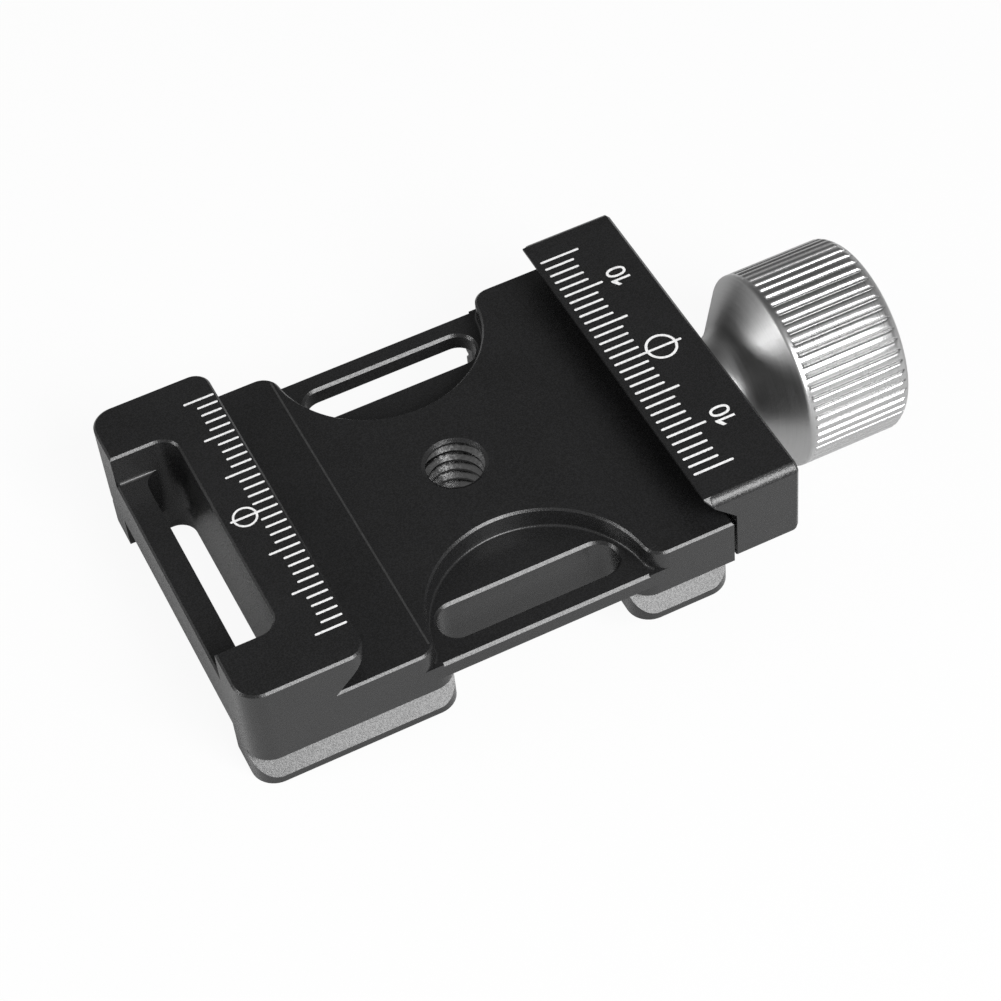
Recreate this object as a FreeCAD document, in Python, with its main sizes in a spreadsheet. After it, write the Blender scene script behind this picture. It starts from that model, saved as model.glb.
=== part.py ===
import FreeCAD, Part
import math
import os
import re
import Sketcher

V = FreeCAD.Vector
os.makedirs("parts", exist_ok=True)
doc = FreeCAD.newDocument("DovetailClamp")

# Frame: origin on the axis of the camera screw hole, at the flat underside. X runs along the clamp from the
# fixed jaw to the knob, Y runs along the jaws, Z is up. All sizes are millimetres and degrees.
SIZES = {
    # The milled body.
    "body_width": 37.0,
    "body_height": 12.5,
    "left_end": 28.0,
    "right_end": 18.4,
    "left_corner_radius": 2.25,
    "edge_break": 0.2,
    # Dovetail channel between the jaws.
    "fixed_tip": 16.45,
    "channel_depth": 3.9,
    "fixed_tip_height": 0.65,
    "undercut_angle": 45.0,
    "fixed_tip_corner": 1.6,
    # Round recesses, side arms and their strap slots.
    "recess_radius": 10.25,
    "recess_inset": 0.5,
    "recess_mouth_radius": 1.8,
    "recess_depth": 2.2,
    "arm_thickness": 1.7,
    "arm_edge_chamfer": 0.25,
    "arm_edge_half_length": 10.0,
    "arm_rib": 2.05,
    "strap_slot_width": 3.75,
    "strap_slot_half_length": 8.7,
    "strap_slot_chamfer": 0.25,
    "relief_half_length": 8.6,
    "foot_corner_radius": 2.2,
    # Dovetail along both sides of the underside.
    "rail_ledge": 3.45,
    "rail_depth": 2.3,
    "rail_flank_top": 3.05,
    "rail_lip": 0.75,
    "rail_end_radius": 2.4,
    # Pocket, bar and long slot at the left end.
    "end_pocket_wall": 6.1,
    "bar_top": 9.0,
    "bar_thickness": 2.5,
    "end_slot_width": 3.5,
    "end_relief_wall": 5.4,
    # Camera screw hole.
    "mount_hole_radius": 3.2,
    "mount_hole_chamfer": 0.3,
    # Moving jaw.
    "jaw_gap": 0.3,
    "jaw_thickness": 6.3,
    "jaw_overhang": 2.83,
    "jaw_tip_height": 0.25,
    "jaw_end_bottom": 3.85,
    "jaw_shoulder": 5.5,
    "jaw_tongue_bottom": 0.4,
    "jaw_bottom_radius": 0.9,
    "jaw_end_chamfer": 0.75,
    "jaw_tip_corner": 0.7,
    "jaw_end_radius": 0.7,
    "jaw_edge_break": 0.3,
    # Clamp screw and its fits.
    "screw_height": 3.8,
    "screw_radius": 2.5,
    "screw_reach": 12.4,
    "screw_tip_chamfer": 0.5,
    "screw_tip_clearance": 0.7,
    "screw_seat_length": 11.2,
    "running_clearance": 0.05,
    # Guide pins and return springs.
    "pin_inset": 8.5,
    "pin_radius": 1.5,
    "pin_reach": 11.2,
    "pin_tip_clearance": 1.0,
    "pin_seat_depth": 5.3,
    "pin_chamfer": 0.3,
    "spring_pocket_radius": 2.3,
    "spring_pocket_depth": 3.5,
    "spring_wire": 0.5,
    "spring_coils": 2.5,
    "spring_clearance": 0.12,
    # Knob.
    "knob_gap": 0.2,
    "knob_radius": 9.6,
    "knob_length": 17.1,
    "knob_end_chamfer": 1.2,
    "neck_radius": 4.8,
    "neck_length": 2.4,
    "neck_cone_angle": 51.4,
    "neck_blend_radius": 3.0,
    "rim_break": 0.2,
    "spline_count": 56.0,
    "rim_width": 0.47,
    "spline_groove_width": 0.5,
    "spline_groove_depth": 0.35,
    # Washers between the knob and the jaw.
    "washer_radius": 3.8,
    "washer_clearance": 0.15,
    "friction_washer_thickness": 0.5,
    "thrust_washer_thickness": 0.6,
    # Fixing screw in the end of the knob.
    "fixing_radius": 1.5,
    "fixing_hole_clearance": 0.1,
    "fixing_thread_length": 6.0,
    "fixing_web": 1.5,
    "fixing_head_radius": 2.75,
    "fixing_head_height": 2.0,
    "fixing_key_flats": 2.5,
    "fixing_key_depth": 1.2,
    "fixing_recess_radius": 3.6,
    "lock_washer_thickness": 0.5,
    "lock_washer_radius": 2.9,
}

sheet = doc.addObject("Spreadsheet::Sheet", "Sizes")
for row, (word, amount) in enumerate(SIZES.items(), 1):
    sheet.set("A%d" % row, word)
    sheet.set("B%d" % row, str(amount))
    sheet.setAlias("B%d" % row, word)
doc.recompute()
WORDS = re.compile(r"\b(%s)\b" % "|".join(SIZES))


def bound(text):
    """A size written in words of the sheet, as an expression that FreeCAD can hold."""
    return WORDS.sub(r"Sizes.\1", text)


def size(text):
    """The same size as a number of millimetres."""
    return float(sheet.evalExpression(WORDS.sub(r".\1", text)))


def new_body(name, height="0"):
    """One piece, standing with its own axes at a height over the underside."""
    body = doc.addObject("PartDesign::Body", name)
    body.Label = name
    body.setExpression("Placement.Base.z", bound(height))
    return body


def new_sketch(body, name, role, offset):
    """An empty sketch on one of the piece's own planes, lifted off it by the offset."""
    sketch = body.newObject("Sketcher::SketchObject", name)
    plane = [feature for feature in body.Origin.OriginFeatures if feature.Role == role][0]
    sketch.AttachmentSupport = [(plane, "")]
    sketch.MapMode = "FlatFace"
    sketch.setExpression("AttachmentOffset.Base.z", bound(offset))
    return sketch


def hold(sketch, kind, reference, text):
    """A size of the sketch, held by the sheet."""
    index = sketch.addConstraint(Sketcher.Constraint(kind, *reference, size(text)))
    sketch.setExpression("Constraints[%d]" % index, bound(text))


def hold_point(sketch, geometry, point, x, y):
    hold(sketch, "DistanceX", (-1, 1, geometry, point), x)
    hold(sketch, "DistanceY", (-1, 1, geometry, point), y)


def rounded(before, corner, after, radius):
    """Where a rounding leaves the two sides of a corner, and its centre."""
    back = (before - corner).normalize()
    ahead = (after - corner).normalize()
    half = back.getAngle(ahead) / 2
    reach = radius / math.tan(half)
    centre = corner + (back + ahead).normalize() * (radius / math.sin(half))
    return corner + back * reach, corner + ahead * reach, centre


def outline(body, name, role, offset, corners):
    """A closed outline through corners given as x, y and, where the corner is rounded, its radius."""
    sketch = new_sketch(body, name, role, offset)
    count = len(corners)
    places = [V(size(corner[0]), size(corner[1]), 0) for corner in corners]
    arrive = list(places)
    leave = list(places)
    centres = [None] * count
    for k, corner in enumerate(corners):
        if len(corner) == 3:
            before = places[k - 1]
            after = places[(k + 1) % count]
            arrive[k], leave[k], centres[k] = rounded(before, places[k], after, size(corner[2]))
    lines = []
    for k in range(count):
        line = Part.LineSegment(leave[k], arrive[(k + 1) % count])
        lines.append(sketch.addGeometry(line, False))
    for k, corner in enumerate(corners):
        before = lines[k - 1]
        after = lines[k]
        if centres[k] is None:
            sketch.addConstraint(Sketcher.Constraint("Coincident", before, 2, after, 1))
            hold_point(sketch, after, 1, corner[0], corner[1])
            continue
        from_centre = arrive[k] - centres[k]
        to_centre = leave[k] - centres[k]
        left_turn = from_centre.cross(to_centre).z > 0
        first, last = (from_centre, to_centre) if left_turn else (to_centre, from_centre)
        circle = Part.Circle(centres[k], V(0, 0, 1), size(corner[2]))
        angles = [math.atan2(ray.y, ray.x) for ray in (first, last)]
        arc = sketch.addGeometry(Part.ArcOfCircle(circle, angles[0], angles[1]), False)
        near, far = (1, 2) if left_turn else (2, 1)
        sketch.addConstraint(Sketcher.Constraint("Tangent", before, 2, arc, near))
        sketch.addConstraint(Sketcher.Constraint("Tangent", arc, far, after, 1))
        hold(sketch, "Radius", (arc,), corner[2])
        point = sketch.addGeometry(Part.Point(places[k]), True)
        sketch.addConstraint(Sketcher.Constraint("PointOnObject", point, 1, before))
        sketch.addConstraint(Sketcher.Constraint("PointOnObject", point, 1, after))
        hold_point(sketch, point, 1, corner[0], corner[1])
    return sketch


def circles(body, name, role, offset, rounds):
    """Full circles, each given as centre x, centre y and radius."""
    sketch = new_sketch(body, name, role, offset)
    for x, y, radius in rounds:
        circle = Part.Circle(V(size(x), size(y), 0), V(0, 0, 1), size(radius))
        geometry = sketch.addGeometry(circle, False)
        hold_point(sketch, geometry, 3, x, y)
        hold(sketch, "Radius", (geometry,), radius)
    return sketch


def long_hole(body, name, role, offset, first, last, radius):
    """A slot with round ends, from the first centre to the last."""
    sketch = new_sketch(body, name, role, offset)
    start = V(size(first[0]), size(first[1]), 0)
    end = V(size(last[0]), size(last[1]), 0)
    along = (end - start).normalize()
    across = V(-along.y, along.x, 0) * size(radius)
    turn = math.atan2(along.y, along.x)
    right = sketch.addGeometry(Part.LineSegment(start - across, end - across), False)
    left = sketch.addGeometry(Part.LineSegment(end + across, start + across), False)
    quarter = math.pi / 2
    end_circle = Part.Circle(end, V(0, 0, 1), size(radius))
    start_circle = Part.Circle(start, V(0, 0, 1), size(radius))
    far = sketch.addGeometry(Part.ArcOfCircle(end_circle, turn - quarter, turn + quarter), False)
    near = sketch.addGeometry(Part.ArcOfCircle(start_circle, turn + quarter, turn + 3 * quarter), False)
    sketch.addConstraint(Sketcher.Constraint("Tangent", right, 2, far, 1))
    sketch.addConstraint(Sketcher.Constraint("Tangent", far, 2, left, 1))
    sketch.addConstraint(Sketcher.Constraint("Tangent", left, 2, near, 1))
    sketch.addConstraint(Sketcher.Constraint("Tangent", near, 2, right, 1))
    hold_point(sketch, near, 3, first[0], first[1])
    hold_point(sketch, far, 3, last[0], last[1])
    hold(sketch, "Radius", (far,), radius)
    return sketch


def open_bay(body, name, role, offset, centre, radius, mouth, mouth_radius):
    """A round bay that opens with rounded corners at a mouth line, its centre just inside the line."""
    sketch = new_sketch(body, name, role, offset)
    middle = V(0, size(centre), 0)
    line_at = size(mouth)
    inward = -math.copysign(1, line_at)
    corner_y = line_at + inward * size(mouth_radius)
    reach = size(radius) + size(mouth_radius)
    corner_x = math.sqrt(reach ** 2 - (corner_y - middle.y) ** 2)
    corners = [V(-corner_x, corner_y, 0), V(corner_x, corner_y, 0)]
    touches = [middle + (corner - middle) * (size(radius) / reach) for corner in corners]
    feet = [V(corner.x, line_at, 0) for corner in corners]

    def arc(around, turn_radius, start, end):
        first, last = (ray - around for ray in ((start, end) if inward > 0 else (end, start)))
        circle = Part.Circle(around, V(0, 0, 1), turn_radius)
        curve = Part.ArcOfCircle(circle, math.atan2(first.y, first.x), math.atan2(last.y, last.x))
        return sketch.addGeometry(curve, False)

    wall = arc(middle, size(radius), touches[1], touches[0])
    left = arc(corners[0], size(mouth_radius), feet[0], touches[0])
    right = arc(corners[1], size(mouth_radius), touches[1], feet[1])
    closing = sketch.addGeometry(Part.LineSegment(feet[0], feet[1]), False)
    start, end = (1, 2) if inward > 0 else (2, 1)
    sketch.addConstraint(Sketcher.Constraint("Tangent", right, start, wall, start))
    sketch.addConstraint(Sketcher.Constraint("Tangent", wall, end, left, end))
    sketch.addConstraint(Sketcher.Constraint("Tangent", left, start, closing, 1))
    sketch.addConstraint(Sketcher.Constraint("Tangent", closing, 2, right, end))
    sketch.addConstraint(Sketcher.Constraint("Horizontal", closing))
    hold(sketch, "DistanceY", (-1, 1, closing, 1), mouth)
    hold_point(sketch, wall, 3, "0", centre)
    for geometry, amount in ((wall, radius), (left, mouth_radius), (right, mouth_radius)):
        hold(sketch, "Radius", (geometry,), amount)
    return sketch


def pad(body, sketch, length, middle=False):
    """Solid raised from a sketch, one way or both ways from its plane."""
    feature = body.newObject("PartDesign::Pad", sketch.Name + "_pad")
    feature.Profile = sketch
    feature.SideType = "Symmetric" if middle else "One side"
    feature.setExpression("Length", bound(length))
    doc.recompute()
    return feature


def pocket(body, sketch, length, ahead=False, middle=False):
    """Material taken away from a sketch, behind its plane, ahead of it or both ways."""
    before = body.Shape.Volume
    feature = body.newObject("PartDesign::Pocket", sketch.Name + "_cut")
    feature.Profile = sketch
    feature.SideType = "Symmetric" if middle else "One side"
    feature.Reversed = ahead
    feature.setExpression("Length", bound(length))
    doc.recompute()
    if body.Shape.Volume > before - 1e-4:
        raise RuntimeError(sketch.Name + " cuts nothing")
    return feature


def turned(body, sketch, cut=False):
    """Full turn of a sketch about its own horizontal axis, or about its vertical one for a cut."""
    before = body.Shape.Volume if cut else 0
    kind = "PartDesign::Groove" if cut else "PartDesign::Revolution"
    feature = body.newObject(kind, sketch.Name + "_turned")
    feature.Profile = sketch
    feature.ReferenceAxis = (sketch, ["V_Axis" if cut else "H_Axis"])
    feature.Angle = 360
    doc.recompute()
    if cut and body.Shape.Volume > before - 1e-4:
        raise RuntimeError(sketch.Name + " cuts nothing")
    return feature


def picked(body, wanted):
    """Names of the edges whose two ends and middle all pass a test."""
    names = []
    for number, edge in enumerate(body.Shape.Edges, 1):
        middle = edge.valueAt((edge.FirstParameter + edge.LastParameter) / 2)
        if all(wanted(point) for point in (edge.firstVertex().Point, middle, edge.lastVertex().Point)):
            names.append("Edge%d" % number)
    return names


def near(number, text):
    return abs(number - size(text)) < 1e-4


def dress_edges(body, name, kind, amount, wanted):
    """Chamfer or Fillet of the edges that pass a test."""
    names = picked(body, wanted)
    if not names:
        raise RuntimeError(name + " finds no edge")
    carrier = body.Tip
    feature = body.newObject("PartDesign::" + kind, name)
    feature.Base = (carrier, names)
    feature.setExpression("Radius" if kind == "Fillet" else "Size", bound(amount))
    doc.recompute()
    body.Tip = feature
    doc.recompute()
    return feature


# Cuts run on by this much past the faces that they leave through.
OUTSIDE = "1"
SIDE = "body_width / 2"
BEYOND = SIDE + " + " + OUTSIDE
TOP = "body_height"
FLOOR = "(body_height - channel_depth)"
ARM_TOP = "(" + FLOOR + " - recess_depth)"
ARM_BOTTOM = "(" + ARM_TOP + " - arm_thickness)"
SLOT_INNER = "(" + SIDE + " - arm_rib - strap_slot_width)"
SHAFT = "screw_height"
PIN_LINE = "(" + SIDE + " - pin_inset)"
JAW_INNER = "(right_end + jaw_gap)"
JAW_OUTER = "(right_end + jaw_gap + jaw_thickness)"
JAW_TIP = "(right_end + jaw_gap - jaw_overhang)"
KNOB_FACE = "(" + JAW_OUTER + " + knob_gap)"
KNOB_SEAT = "(" + JAW_OUTER + " + friction_washer_thickness + thrust_washer_thickness)"
KNOB_END = "(" + KNOB_FACE + " + knob_length)"
SCREW_TIP = "(right_end - screw_reach)"
SCREW_END = "(" + KNOB_SEAT + " + screw_seat_length)"


def both_sides(part):
    """Run the same step on the front side and on the back side."""
    for word, sign in (("front", "-"), ("back", "")):
        part(word, sign)


def make_body():
    """The milled body with the fixed jaw, the channel floor, both arms and the feet."""
    body = new_body("body")
    block = outline(body, "block", "XY_Plane", "0", [
        ("-left_end", "-" + SIDE, "left_corner_radius"),
        ("right_end", "-" + SIDE),
        ("right_end", SIDE),
        ("-left_end", SIDE, "left_corner_radius")])
    pad(body, block, "body_height")

    # The channel is cut through from side to side: tip of the fixed jaw, undercut, floor.
    root = "-fixed_tip - (channel_depth - fixed_tip_height) / tan(undercut_angle)"
    channel = outline(body, "channel", "XZ_Plane", "0", [
        ("-fixed_tip", TOP + " + " + OUTSIDE),
        ("-fixed_tip", TOP + " - fixed_tip_height"),
        (root, FLOOR),
        ("right_end + " + OUTSIDE, FLOOR),
        ("right_end + " + OUTSIDE, TOP + " + " + OUTSIDE)])
    pocket(body, channel, "body_width + 2 * " + OUTSIDE, middle=True)

    def fixed_tip_end(word, sign):
        shape = outline(body, "fixed_tip_end_" + word, "XY_Plane", TOP, [
            ("-fixed_tip - fixed_tip_corner - " + OUTSIDE, sign + SIDE),
            ("-fixed_tip", sign + SIDE, "fixed_tip_corner"),
            ("-fixed_tip", sign + "(" + SIDE + " - fixed_tip_corner - " + OUTSIDE + ")"),
            ("-fixed_tip + " + OUTSIDE, sign + "(" + SIDE + " - fixed_tip_corner - " + OUTSIDE + ")"),
            ("-fixed_tip + " + OUTSIDE, sign + "(" + BEYOND + ")"),
            ("-fixed_tip - fixed_tip_corner - " + OUTSIDE, sign + "(" + BEYOND + ")")])
        pocket(body, shape, "channel_depth")

    both_sides(fixed_tip_end)

    # A round recess on each side leaves an arm, which a strap slot and a relief from below cut free.
    def recess(word, sign):
        centre = sign + "(" + SIDE + " - recess_inset)"
        shape = open_bay(body, "recess_" + word, "XY_Plane", TOP, centre, "recess_radius",
                         sign + SIDE, "recess_mouth_radius")
        pocket(body, shape, "channel_depth + recess_depth")

    def relief(word, sign):
        reach = "relief_half_length + foot_corner_radius + " + OUTSIDE
        shape = outline(body, "relief_" + word, "XY_Plane", "0", [
            ("-relief_half_length", sign + SLOT_INNER, "strap_slot_width / 2"),
            ("relief_half_length", sign + SLOT_INNER, "strap_slot_width / 2"),
            ("relief_half_length", sign + SIDE, "foot_corner_radius"),
            (reach, sign + SIDE),
            (reach, sign + "(" + BEYOND + ")"),
            ("-(" + reach + ")", sign + "(" + BEYOND + ")"),
            ("-(" + reach + ")", sign + SIDE),
            ("-relief_half_length", sign + SIDE, "foot_corner_radius")])
        pocket(body, shape, ARM_BOTTOM, ahead=True)

    def strap_slot(word, sign):
        line = sign + "(" + SLOT_INNER + " + strap_slot_width / 2)"
        reach = "strap_slot_half_length - strap_slot_width / 2"
        shape = long_hole(body, "strap_slot_" + word, "XY_Plane", ARM_TOP,
                          ("-(" + reach + ")", line), (reach, line), "strap_slot_width / 2")
        pocket(body, shape, ARM_TOP)

    def arm_edge(word, sign):
        shape = outline(body, "arm_edge_" + word, "YZ_Plane", "0", [
            (sign + "(" + SIDE + " - arm_edge_chamfer)", ARM_TOP),
            (sign + "(" + BEYOND + ")", ARM_TOP),
            (sign + "(" + BEYOND + ")", ARM_TOP + " - arm_edge_chamfer - " + OUTSIDE)])
        pocket(body, shape, "2 * arm_edge_half_length", middle=True)

    both_sides(recess)
    both_sides(relief)
    both_sides(strap_slot)
    both_sides(arm_edge)

    # Left end: pocket down to the bar, long slot behind the bar, relief under it.
    inner = "-left_end + bar_thickness + end_slot_width"
    middle = "-left_end + bar_thickness + end_slot_width / 2"
    pocket_half = "(" + SIDE + " - end_pocket_wall)"
    relief_half = "(" + SIDE + " - end_relief_wall)"
    end_pocket = outline(body, "end_pocket", "XY_Plane", "bar_top", [
        ("-left_end - " + OUTSIDE, "-" + pocket_half),
        (inner, "-" + pocket_half, "end_slot_width / 2"),
        (inner, pocket_half, "end_slot_width / 2"),
        ("-left_end - " + OUTSIDE, pocket_half)])
    pocket(body, end_pocket, TOP + " - bar_top", ahead=True)
    slot_reach = pocket_half + " - end_slot_width / 2"
    end_slot = long_hole(body, "end_slot", "XY_Plane", "bar_top",
                         (middle, "-(" + slot_reach + ")"), (middle, slot_reach), "end_slot_width / 2")
    pocket(body, end_slot, "bar_top")
    end_relief = outline(body, "end_relief", "XY_Plane", "0", [
        ("-left_end - " + OUTSIDE, "-" + relief_half),
        (inner, "-" + relief_half, "end_slot_width / 2"),
        (inner, relief_half, "end_slot_width / 2"),
        ("-left_end - " + OUTSIDE, relief_half)])
    pocket(body, end_relief, "rail_ledge", ahead=True)

    # The dovetail of the underside: one groove along each side, with a slanted flank over the lip.
    def rail(word, sign):
        shape = outline(body, "rail_" + word, "YZ_Plane", "0", [
            (sign + "(" + BEYOND + ")", "rail_ledge"),
            (sign + "(" + SIDE + " - rail_depth)", "rail_ledge"),
            (sign + "(" + SIDE + " - rail_depth)", "rail_flank_top"),
            (sign + SIDE, "rail_lip"),
            (sign + "(" + BEYOND + ")", "rail_lip")])
        pocket(body, shape, "2 * (left_end + " + OUTSIDE + ")", middle=True)

    def rail_end(word, sign):
        shape = outline(body, "rail_end_" + word, "XY_Plane", "0", [
            ("right_end - rail_end_radius - " + OUTSIDE, sign + SIDE),
            ("right_end", sign + SIDE, "rail_end_radius"),
            ("right_end", sign + "(" + SIDE + " - rail_end_radius - " + OUTSIDE + ")"),
            ("right_end + " + OUTSIDE, sign + "(" + SIDE + " - rail_end_radius - " + OUTSIDE + ")"),
            ("right_end + " + OUTSIDE, sign + "(" + BEYOND + ")"),
            ("right_end - rail_end_radius - " + OUTSIDE, sign + "(" + BEYOND + ")")])
        pocket(body, shape, "rail_ledge", ahead=True)

    both_sides(rail)
    both_sides(rail_end)

    # Camera screw hole, with its upper rim chamfered.
    rim = "mount_hole_radius + mount_hole_chamfer"
    hole = outline(body, "mount_hole", "XZ_Plane", "0", [
        ("0", "0"),
        ("mount_hole_radius", "0"),
        ("mount_hole_radius", FLOOR + " - mount_hole_chamfer"),
        (rim, FLOOR),
        ("0", FLOOR)])
    turned(body, hole, cut=True)

    # Bores from the right end for the clamp screw, the guide pins and the springs round the pins.
    pins = [("-" + PIN_LINE, SHAFT), (PIN_LINE, SHAFT)]
    screw_bore = circles(body, "screw_bore", "YZ_Plane", "right_end", [
        ("0", SHAFT, "screw_radius + running_clearance")])
    pocket(body, screw_bore, "screw_reach + screw_tip_clearance")
    pin_bores = circles(body, "pin_bores", "YZ_Plane", "right_end", [
        (y, z, "pin_radius + running_clearance") for y, z in pins])
    pocket(body, pin_bores, "pin_reach + pin_tip_clearance")
    spring_pockets = circles(body, "spring_pockets", "YZ_Plane", "right_end", [
        (y, z, "spring_pocket_radius") for y, z in pins])
    pocket(body, spring_pockets, "spring_pocket_depth")

    # Edges that the mill breaks: rims of the strap slots, the channel floor, the bar, the top of the fixed jaw.
    def on_slot_rim(point):
        across = abs(point.y) - size(SLOT_INNER)
        return near(point.z, ARM_TOP) and -0.01 < across < size("strap_slot_width") + 0.01 and (
            abs(point.x) < size("strap_slot_half_length") + 0.01)

    def on_jaw_top(point):
        return near(point.z, TOP)

    def on_floor_rim(point):
        past_root = point.x > size(root) + 0.01 or near(abs(point.y), SIDE)
        return near(point.z, FLOOR) and past_root and math.hypot(point.x, point.y) > size(rim) + 0.01

    def on_bar_rim(point):
        return near(point.z, "bar_top") and near(point.x, "-left_end")

    dress_edges(body, "slot_rims", "Chamfer", "strap_slot_chamfer", on_slot_rim)
    dress_edges(body, "jaw_top_edges", "Chamfer", "edge_break", on_jaw_top)
    dress_edges(body, "floor_edges", "Chamfer", "edge_break", on_floor_rim)
    dress_edges(body, "bar_edge", "Chamfer", "edge_break", on_bar_rim)
    return body


def make_moving_jaw():
    """The bar with the second jaw tip, bored for the clamp screw and the guide pins."""
    body = new_body("moving_jaw")
    profile = outline(body, "jaw_profile", "XZ_Plane", "0", [
        (JAW_TIP, TOP),
        (JAW_TIP, TOP + " - jaw_tip_height"),
        (JAW_INNER, TOP + " - jaw_tip_height - jaw_overhang / tan(undercut_angle)"),
        (JAW_INNER, "jaw_tongue_bottom"),
        (JAW_OUTER, "jaw_tongue_bottom", "jaw_bottom_radius"),
        (JAW_OUTER, TOP)])
    pad(body, profile, "body_width", middle=True)

    # The two ends stop higher than the tongue between them, which carries the screw and the pins.
    def jaw_end(word, sign):
        shape = outline(body, "jaw_end_" + word, "YZ_Plane", "0", [
            (sign + "(" + SIDE + " - jaw_shoulder)", "jaw_tongue_bottom - " + OUTSIDE),
            (sign + "(" + SIDE + " - jaw_shoulder)", "jaw_end_bottom"),
            (sign + "(" + BEYOND + ")", "jaw_end_bottom"),
            (sign + "(" + BEYOND + ")", "jaw_tongue_bottom - " + OUTSIDE)])
        pocket(body, shape, JAW_OUTER + " + " + OUTSIDE, ahead=True)

    def jaw_tip_end(word, sign):
        shape = outline(body, "jaw_tip_end_" + word, "XY_Plane", TOP, [
            (JAW_TIP + " - " + OUTSIDE, sign + "(" + SIDE + " - jaw_tip_corner - " + OUTSIDE + ")"),
            (JAW_TIP + " + jaw_tip_corner + " + OUTSIDE, sign + "(" + BEYOND + ")"),
            (JAW_TIP + " - " + OUTSIDE, sign + "(" + BEYOND + ")")])
        pocket(body, shape, "channel_depth")

    both_sides(jaw_end)
    both_sides(jaw_tip_end)

    screw_bore = circles(body, "jaw_screw_bore", "YZ_Plane", JAW_OUTER, [
        ("0", SHAFT, "screw_radius + running_clearance")])
    pocket(body, screw_bore, "jaw_thickness + jaw_gap")
    pin_seats = circles(body, "pin_seats", "YZ_Plane", JAW_INNER, [
        ("-" + PIN_LINE, SHAFT, "pin_radius"),
        (PIN_LINE, SHAFT, "pin_radius")])
    pocket(body, pin_seats, "pin_seat_depth", ahead=True)

    def on_top_side(point):
        return near(point.z, TOP) and near(abs(point.y), SIDE)

    def on_end_foot(point):
        return near(point.x, JAW_OUTER) and near(point.z, "jaw_end_bottom")

    def on_outer_rim(point):
        return near(point.x, JAW_OUTER) and point.z > size("jaw_end_bottom") + 0.01

    dress_edges(body, "jaw_top_sides", "Chamfer", "jaw_end_chamfer", on_top_side)
    dress_edges(body, "jaw_end_feet", "Fillet", "jaw_end_radius", on_end_foot)
    dress_edges(body, "jaw_outer_rim", "Chamfer", "jaw_edge_break", on_outer_rim)
    return body


def make_knob():
    """The turned knob: concave neck, rim and straight splines, hollow for the washers and both screws."""
    body = new_body("knob", SHAFT)
    cone_start = KNOB_FACE + " + neck_length"
    cone_end = cone_start + " + (knob_radius - neck_radius) / tan(neck_cone_angle)"
    recess = SCREW_END + " + fixing_web"
    hollow = "washer_radius + washer_clearance"
    hole = "fixing_radius + fixing_hole_clearance"
    profile = outline(body, "knob_profile", "XZ_Plane", "0", [
        (KNOB_FACE, "neck_radius"),
        (cone_start, "neck_radius", "neck_blend_radius"),
        (cone_end + " - rim_break", "knob_radius - rim_break * tan(neck_cone_angle)"),
        (cone_end + " + rim_break", "knob_radius"),
        (KNOB_END + " - knob_end_chamfer", "knob_radius"),
        (KNOB_END, "knob_radius - knob_end_chamfer"),
        (KNOB_END, "fixing_recess_radius"),
        (recess, "fixing_recess_radius"),
        (recess, hole),
        (SCREW_END, hole),
        (SCREW_END, "screw_radius"),
        (KNOB_SEAT, "screw_radius"),
        (KNOB_SEAT, hollow),
        (KNOB_FACE, hollow)])
    turned(body, profile)

    # One groove between two splines, repeated round the axis.
    groove = outline(body, "spline_groove", "YZ_Plane", cone_end + " + rim_width", [
        ("0", "knob_radius - spline_groove_depth"),
        ("spline_groove_width", "knob_radius + spline_groove_depth"),
        ("-spline_groove_width", "knob_radius + spline_groove_depth")])
    cut = pocket(body, groove, "knob_length", ahead=True)
    before = body.Shape.Volume
    ring = body.newObject("PartDesign::PolarPattern", "splines")
    ring.Originals = [cut]
    ring.Axis = (groove, ["N_Axis"])
    ring.Angle = 360
    ring.setExpression("Occurrences", bound("spline_count"))
    body.Tip = ring
    doc.recompute()
    if body.Shape.Volume > before - 1e-4:
        raise RuntimeError("the splines cut nothing")
    return body


def turned_piece(name, corners):
    """A piece turned about the axis that runs along the clamp."""
    body = new_body(name, SHAFT)
    turned(body, outline(body, name + "_profile", "XZ_Plane", "0", corners))
    return body


def ring_corners(start, length, inner, outer):
    end = start + " + " + length
    return [(start, inner), (end, inner), (end, outer), (start, outer)]


def make_clamp_screw():
    """The clamp screw, from its tip in the body to its end in the knob, tapped for the fixing screw."""
    return turned_piece("clamp_screw", [
        (SCREW_TIP, "0"),
        (SCREW_END + " - fixing_thread_length", "0"),
        (SCREW_END + " - fixing_thread_length", "fixing_radius"),
        (SCREW_END, "fixing_radius"),
        (SCREW_END, "screw_radius"),
        (SCREW_TIP + " + screw_tip_chamfer", "screw_radius"),
        (SCREW_TIP, "screw_radius - screw_tip_chamfer")])


def make_washers():
    """Nylon washer on the jaw, steel washer on top of it, both hidden in the neck of the knob."""
    inner = "screw_radius + washer_clearance"
    turned_piece("friction_washer", ring_corners(
        JAW_OUTER, "friction_washer_thickness", inner, "washer_radius"))
    turned_piece("thrust_washer", ring_corners(
        JAW_OUTER + " + friction_washer_thickness", "thrust_washer_thickness", inner, "washer_radius"))


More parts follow.
